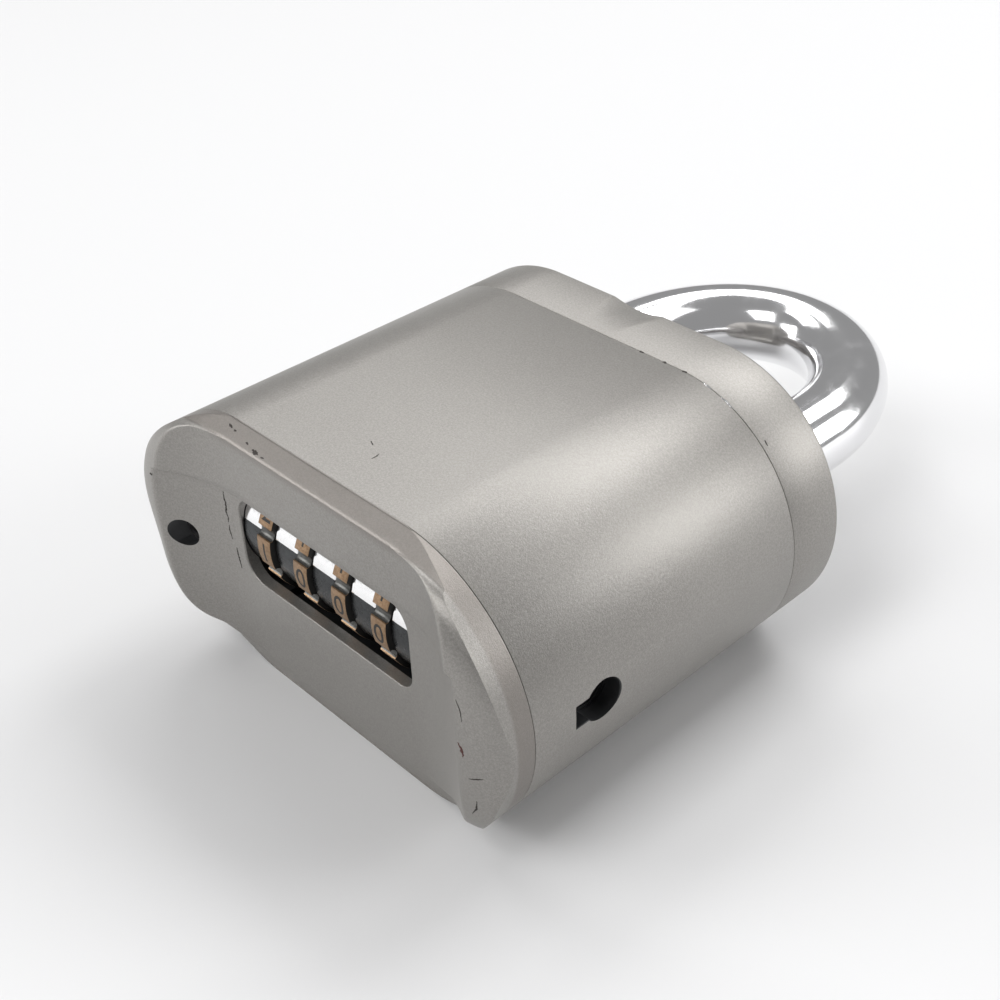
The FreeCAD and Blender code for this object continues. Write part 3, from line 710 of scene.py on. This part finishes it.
def hoop():
    """Round bar with its two notches, and on the long leg the neck, flat and spring hole."""
    rows = bar_rows()
    points = []
    for x, y, way_x, way_y, radius in rows:
        for k in range(BAR_STEPS):
            angle = 2 * math.pi * k / BAR_STEPS
            side = radius * math.cos(angle)
            points.append((x + side * way_y, y - side * way_x, MID_Z + radius * math.sin(angle)))
    made = mesh_object("shackle_bar", points, grid_faces(len(rows), BAR_STEPS), CHROME)
    back, front = MID_Z - TOOL_REACH, MID_Z + TOOL_REACH
    inner = LEG_X - NECK_R
    notch = [(inner, back), (inner, front), (-inner, front), (-inner, back)]
    beyond = LEG_X + TOOL_REACH
    flat = [(LEG_X + NECK_R, back), (beyond, back), (beyond, front), (LEG_X + NECK_R, front)]
    neck_top = NECK_LOW + NECK_H
    neck = [(NECK_LOW, NECK_R), (NECK_LOW, TOOL_REACH), (neck_top, TOOL_REACH),
            (neck_top, NECK_R)]
    well = plug(hoop_low.y - 1, hoop_low.y + SPRING_HOLE_DEPTH, SPRING_HOLE_R)
    leg = (LEG_X, 0, MID_Z)
    return cut(made, [
        prism("notch_tool", notch, NOTCH_LOW, NOTCH_TOP, CHROME),
        lathe("neck_tool", neck, CHROME, leg, "y", 96, closed=True),
        prism("flat_tool", flat, FLAT_LOW, PIN_TOP, CHROME),
        lathe("well_tool", well, CHROME, leg, "y", 48),
    ])


shackle = hoop()
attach(shackle, "shackle")
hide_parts("shackle")

# The wheels: angles run from the window side towards the front
DIGITS = 10
DIGIT_STEP = 360 / DIGITS
DIGIT_TURN = -3.0
DIGIT_H = 2.4
DIGIT_W = 1.45
ONE_W = 0.8
FIRST_ROW = (1, 0, 0, 0)
INK_DEPTH = 0.02
INK_RISE = 0.012
RING_BORE_R = 5.96
RING_SOFT = 0.10
# Degrees between a ring's points on its lands and in its scallops
LAND_STEP = 1.6
SCALLOP_STEP = 0.3
NOSE_R = 5.2
HUB_GAP = 0.15
BARREL_SOFT = 0.12
GATE_HALF = 1.2
GATE_DEPTH = 1.9
# Angles between which the barrels carry their painted dark reflection
DARK_REFLECTION_TURNS = (-39.0, 13.0)


def wheel_point(x, radius, angle):
    """Point of a wheel in mm, at an angle in degrees."""
    a = math.radians(angle)
    return (x, AXIS_Y - radius * math.cos(a), AXIS_Z + radius * math.sin(a))


def wheel_offset(face):
    """How far a face lies up from the wheels' axis, and out from it to the window, in mm."""
    middle = face.center / MM
    return middle.z - AXIS_Z, AXIS_Y - middle.y


def ring_radius(angle):
    """Radius of a number ring at an angle: lands with a scallop between two digits."""
    off = (angle - DIGIT_TURN) % DIGIT_STEP - DIGIT_STEP / 2
    scallop_r = (SCALLOP_HALF ** 2 + SCALLOP_DEPTH ** 2) / (2 * SCALLOP_DEPTH)
    centre = RING_R - SCALLOP_DEPTH + scallop_r
    bend = scallop_r ** 2 - (centre * math.sin(math.radians(off))) ** 2
    if abs(off) > 8 or bend <= 0:
        return RING_R
    return min(RING_R, centre * math.cos(math.radians(off)) - math.sqrt(bend))


def ring_angles():
    """Angles of a ring's points, closer together in the scallops."""
    offsets = [k * LAND_STEP for k in range(8)]
    offsets += [12.6 + k * SCALLOP_STEP for k in range(37)]
    offsets += [24.8 + k * LAND_STEP for k in range(7)]
    starts = [DIGIT_TURN + n * DIGIT_STEP for n in range(DIGITS)]
    return [start + offset for start in starts for offset in offsets]


def number_ring(index):
    """Bronze ring, its bare-metal scallops darkened and its sides made black as painted shade."""
    angles = ring_angles()
    half = RING_W / 2
    corner = [(half, None), (half, RING_SOFT), (half - RING_SOFT * 0.3, RING_SOFT * 0.3),
              (half - RING_SOFT, 0)]
    points = []
    for along, inset in [(-along, inset) for along, inset in corner] + corner[::-1]:
        for angle in angles:
            radius = RING_BORE_R if inset is None else ring_radius(angle) - inset
            points.append(wheel_point(WHEEL_X[index] + along, radius, angle))
    faces = grid_faces(2 * len(corner), len(angles), closed_rows=True)
    ring = mesh_object(f"ring_{index + 1}", points, faces, BRONZE, 32)
    ring.data.materials.append(SCALLOP_SHADE)
    ring.data.materials.append(RING_SIDE_SHADE)
    # Side faces get the black painted shade, scallop faces the darkened metal of painted shade
    for face in ring.data.polygons:
        up, out = wheel_offset(face)
        sideways = abs(face.normal.x)
        if sideways > 0.8:
            face.material_index = 2
        elif sideways < 0.5 and 6.5 < math.hypot(up, out) < RING_R - 0.12:
            face.material_index = 1
    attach(ring, f"wheel_{index + 1}")
    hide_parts(f"number_ring_{index + 1}")


def digit_mesh(text):
    """Flat digit, centred, in mm: points, faces and border edges, fine enough to bend."""
    curve = bpy.data.curves.new("digit", "FONT")
    curve.body = text
    curve.size = 1.0
    curve.resolution_u = 10
    holder = bpy.data.objects.new("digit", curve)
    bpy.context.scene.collection.objects.link(holder)
    bpy.context.view_layer.update()
    seen = holder.evaluated_get(bpy.context.evaluated_depsgraph_get())
    mesh = bpy.data.meshes.new_from_object(seen)
    bpy.data.objects.remove(holder)
    work = bmesh.new()
    work.from_mesh(mesh)
    places = np.array([v.co for v in work.verts])
    low, high = places.min(0), places.max(0)
    middle = (low + high) / 2
    tall = DIGIT_H / (high[1] - low[1])
    wide = tall * ONE_W if text == "1" else min(tall, DIGIT_W / (high[0] - low[0]))
    for v in work.verts:
        v.co = ((v.co.x - middle[0]) * wide, (v.co.y - middle[1]) * tall, 0)
    bmesh.ops.remove_doubles(work, verts=work.verts, dist=1e-5)
    for eighth in range(-3, 4):
        geometry = list(work.verts) + list(work.edges) + list(work.faces)
        bmesh.ops.bisect_plane(work, geom=geometry, plane_co=(0, eighth * DIGIT_H / 8, 0),
                               plane_no=(0, 1, 0))
    points = [tuple(v.co) for v in work.verts]
    faces = [[v.index for v in face.verts] for face in work.faces]
    border = [[v.index for v in e.verts] for e in work.edges if len(e.link_faces) == 1]
    work.free()
    return points, faces, border


def digit_layer(index, glyphs):
    """All ten digits of one wheel as one thin raised print."""
    points, faces = [], []
    for n in range(DIGITS):
        flat, polygons, border = glyphs[(FIRST_ROW[index] + n) % DIGITS]
        low, top = len(points), len(points) + len(flat)
        for radius in (RING_R - INK_DEPTH, RING_R + INK_RISE):
            for x, up, _ in flat:
                angle = DIGIT_TURN + n * DIGIT_STEP + math.degrees(up / RING_R)
                points.append(wheel_point(WHEEL_X[index] + x, radius, angle))
        faces += [[low + i for i in reversed(polygon)] for polygon in polygons]
        faces += [[top + i for i in polygon] for polygon in polygons]
        faces += [[low + a, low + b, top + b, top + a] for a, b in border]
    layer = mesh_object(f"digits_{index + 1}", points, faces, INK, smooth=False)
    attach(layer, f"wheel_{index + 1}")


def burnish(made):
    """Paints a barrel's outer faces between two angles dark: a painted reflection of the dark housing below the
    wheels.
    """
    made.data.materials.append(BARREL_DARK_REFLECTION)
    slot = len(made.data.materials) - 1
    for face in made.data.polygons:
        up, out = wheel_offset(face)
        angle = math.degrees(math.atan2(up, out))
        between = DARK_REFLECTION_TURNS[0] < angle < DARK_REFLECTION_TURNS[1]
        if between and math.hypot(up, out) > 7.0 and abs(face.normal.x) < 0.9:
            face.material_index = slot


def hub(index):
    """Polished barrel with its gate for the fence, and the nose that carries the ring."""
    end = WHEEL_X[index] - RING_W / 2
    start = end - (PITCH - RING_W - HUB_GAP)
    bore = SPINDLE_R + 0.06
    profile = [(start, bore), (start, BARREL_R - BARREL_SOFT), (start + BARREL_SOFT, BARREL_R),
               (end - BARREL_SOFT, BARREL_R), (end, BARREL_R - BARREL_SOFT), (end, NOSE_R),
               (end + RING_W, NOSE_R), (end + RING_W, bore)]
    made = lathe(f"hub_{index + 1}", profile, POLISHED, (0, AXIS_Y, AXIS_Z), closed=True)
    low, high = AXIS_Z - GATE_HALF, AXIS_Z + GATE_HALF
    gate = [(start - 1, low), (end - 0.6, low), (end - 0.6, high), (start - 1, high)]
    gate_y = AXIS_Y + BARREL_R
    cut(made, [prism("gate_tool", gate, gate_y - GATE_DEPTH, gate_y + 2, POLISHED)])
    burnish(made)
    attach(made, f"wheel_{index + 1}")
    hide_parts(f"wheel_hub_{index + 1}")


glyphs = [digit_mesh(str(n)) for n in range(DIGITS)]
for index in range(4):
    number_ring(index)
    digit_layer(index, glyphs)
    hub(index)

profile = [(collar_low.x, SPINDLE_R), (collar_low.x, BARREL_R - BARREL_SOFT),
           (collar_low.x + BARREL_SOFT, BARREL_R), (collar_high.x - BARREL_SOFT, BARREL_R),
           (collar_high.x, BARREL_R - BARREL_SOFT), (collar_high.x, SPINDLE_R)]
collar = lathe("collar", profile, POLISHED, (0, AXIS_Y, AXIS_Z), closed=True)
burnish(collar)
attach(collar, "case")
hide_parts("spindle_collar")


# Wear: thin slivers that lie in the paint, each given by its surface, width and path in mm
def on_cap(x, z):
    """Place and normal on the wheel end's outer face."""
    spot = np.array([x]), np.array([z])
    return np.array([x, SEAM_LOW - cap_depth(*spot)[0], z]), cap_normal(*spot)[0]


def on_side(x, y):
    """Place and normal on the front half of the case's side."""
    out = np.sign(x) * max(abs(x) - STRAIGHT, 0)
    up = math.sqrt((CASE_T / 2) ** 2 - out ** 2)
    normal = np.array([out, 0, up])
    return np.array([x, y, MID_Z + up]), normal / np.linalg.norm(normal)


WEAR_STEP = 0.12
UNEVEN = (0.6, 1.25)
STRAY = 0.15


def sliver(surface, width, path, random):
    """Closed sliver with uneven edges and thin ends."""
    path = np.array(path, float)
    spots = []
    for a, b in zip(path, path[1:]):
        count = max(2, int(np.linalg.norm(b - a) / WEAR_STEP))
        spots += [a + (b - a) * i / count for i in range(count)]
    spots.append(path[-1])
    places = [surface(*spot) for spot in spots]
    last = len(places) - 1
    points = []
    for i, (place, normal) in enumerate(places):
        along = places[min(i + 1, last)][0] - places[max(i - 1, 0)][0]
        side = np.cross(along, normal)
        side /= np.linalg.norm(side)
        taper = 0.25 + 0.75 * math.sin(math.pi * min(max(i / last, 0.06), 0.94))
        half = width / 2 * taper * random.uniform(*UNEVEN)
        shift = side * random.uniform(-STRAY, STRAY) * width
        for out, lift in ((-half, 0.005), (0, 0.04), (half, 0.005), (0, -0.06)):
            points.append(place + shift + side * out + normal * lift)
    ends = [(0, 1, 2, 3), tuple(4 * last + k for k in range(4))]
    return points, grid_faces(len(places), 4) + ends


def wear(name, paint, marks):
    """One piece from several slivers."""
    random = np.random.default_rng(7)
    points, faces = [], []
    for surface, width, path in marks:
        new_points, new_faces = sliver(surface, width, path, random)
        faces += [tuple(len(points) + i for i in face) for face in new_faces]
        points += new_points
    made = mesh_object(name, points, faces, paint, smooth=False)
    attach(made, "case")


wear("wear_dark", DARK, [
    (on_cap, 0.30, [(-16.12, 24.9), (-16.17, 24.1), (-16.04, 23.3), (-16.20, 22.2),
                    (-16.02, 21.4), (-16.14, 20.8)]),
    (on_cap, 0.20, [(-16.10, 20.4), (-16.12, 19.6), (-15.95, 18.9), (-15.87, 18.6)]),
    (on_cap, 0.26, [(-15.45, 17.6), (-15.36, 16.6), (-15.27, 15.8), (-15.12, 14.9)]),
    (on_cap, 0.36, [(-14.0, 34.0), (-13.3, 33.9)]),
    (on_cap, 0.26, [(-12.9, 33.86), (-12.5, 33.82)]),
    (on_cap, 0.22, [(-10.4, 33.6), (-9.9, 33.57)]),
    (on_cap, 0.42, [(-9.0, 33.44), (-8.4, 33.38), (-7.9, 33.33)]),
    (on_cap, 0.26, [(-7.4, 33.34), (-6.9, 33.36)]),
    (on_cap, 0.30, [(-25.2, 24.67), (-24.7, 24.76)]),
    (on_cap, 0.13, [(25.17, 23.66), (25.68, 22.56), (25.82, 21.4)]),
    (on_cap, 0.20, [(26.28, 14.4), (27.0, 14.7), (27.8, 15.1)]),
    (on_cap, 0.20, [(26.96, 11.7), (26.76, 10.5), (26.07, 9.35)]),
    (on_side, 0.18, [(-0.1, -12.65), (0.6, -13.0)]),
    (on_side, 0.18, [(2.47, -14.66), (2.45, -14.2), (2.33, -13.6)]),
    (on_side, 0.42, [(7.3, 19.42), (7.9, 19.42)]),
    (on_side, 0.40, [(10.7, 19.42), (11.2, 19.45)]),
    (on_side, 0.44, [(13.5, 19.42), (14.1, 19.42)]),
    (on_side, 0.18, [(24.35, 20.3), (24.85, 20.2)]),
])
wear("wear_red", RED_DARK, [
    (on_cap, 0.42, [(25.15, 18.4), (25.6, 17.8), (25.74, 16.9)]),
])
wear("wear_bright", POLISHED, [
    (on_side, 0.30, [(16.4, 19.5), (17.6, 19.5)]),
    (on_side, 0.34, [(18.8, 19.5), (20.6, 19.5)]),
])

# The other solids keep their CAD shape
SLOT_PAINT = {"steel": STEEL, "casting": CASTING, "chrome": CHROME, "hub_steel": POLISHED,
              "bronze": BRONZE, "nickel_paint": PAINT}
slot_of = {p["node"]: p["material_slot"] for p in frame["record"]["subparts"]}
for name, node in frame["nodes"].items():
    node.data.materials.clear()
    node.data.materials.append(SLOT_PAINT[slot_of[name]])

# Floor
FLOOR_HALF = 1.6
corners = [(x * FLOOR_HALF, y * FLOOR_HALF, 0) for x, y in ((-1, -1), (1, -1), (1, 1), (-1, 1))]
floor_mesh = bpy.data.meshes.new("floor")
floor_mesh.from_pydata(corners, [], [(0, 1, 2, 3)])
floor_mesh.materials.append(FLOOR)
floor = bpy.data.objects.new("floor", floor_mesh)
bpy.context.scene.collection.objects.link(floor)

# Softboxes round the object: height and bearing in degrees, and power
STUDIO = {
    "left_front": (22, 225, 2.8),
    "right_back": (22, 45, 3.0),
    "left_back_high": (52, 135, 1.9),
    "left_high": (52, 180, 1.35),
    "front_high": (52, 270, 2.5),
    "right_back_high": (52, 45, 0.75),
    "back_high": (52, 90, 2.9),
}
STUDIO_MIDDLE = Vector((0, 0.02, 0))
SOFTBOX_AWAY = 0.9
SOFTBOX_SIZE = 0.40
for name, (height, bearing, power) in STUDIO.items():
    lift, bearing = math.radians(height), math.radians(bearing)
    way = Vector((math.cos(lift) * math.cos(bearing), math.cos(lift) * math.sin(bearing),
                  math.sin(lift)))
    lamp = bpy.data.lights.new(name, "AREA")
    lamp.shape = "SQUARE"
    lamp.size = SOFTBOX_SIZE
    lamp.energy = power
    softbox = bpy.data.objects.new(name, lamp)
    softbox.location = STUDIO_MIDDLE + SOFTBOX_AWAY * way
    softbox.rotation_euler = (-way).to_track_quat("-Z", "Y").to_euler()
    bpy.context.scene.collection.objects.link(softbox)

# White sky: its strength as light, and what is added in mirrors and in direct view
SKY_LIGHT = 0.10
SKY_MIRRORED = 0.23
SKY_SEEN = 0.90
world = bpy.data.worlds.new("studio")
bpy.context.scene.world = world
world.use_nodes = True
sky = world.node_tree
rays = Value(sky, None)
background = sky.nodes["Background"]
link(sky, background.inputs["Color"], (1.0, 1.0, 1.0))
seen = rays.node("ShaderNodeLightPath", out="Is Camera Ray") * SKY_SEEN
mirrored = rays.node("ShaderNodeLightPath", out="Is Glossy Ray") * SKY_MIRRORED
link(sky, background.inputs["Strength"], seen + mirrored + SKY_LIGHT)

# Camera, fitted to the photo
CAMERA_PLACE = Vector((0.102, -0.08731, 0.11537))
CAMERA_RIGHT = Vector((0.7001, 0.7136, -0.0234))
CAMERA_UP = Vector((-0.3936, 0.4130, 0.8212))
camera_data = bpy.data.cameras.new("camera")
camera_data.lens = 53.27
camera_data.sensor_width = 36.0
camera_data.shift_x = -0.03286
camera_data.shift_y = -0.0132
camera_data.clip_start = 0.01
camera = bpy.data.objects.new("camera", camera_data)
right = CAMERA_RIGHT.normalized()
back = right.cross(CAMERA_UP).normalized()
up = back.cross(right).normalized()
turned = Matrix((right, up, back)).transposed().to_4x4()
camera.matrix_world = Matrix.Translation(CAMERA_PLACE) @ turned
bpy.context.scene.collection.objects.link(camera)
bpy.context.scene.camera = camera
bpy.context.scene.view_settings.view_transform = "Standard"
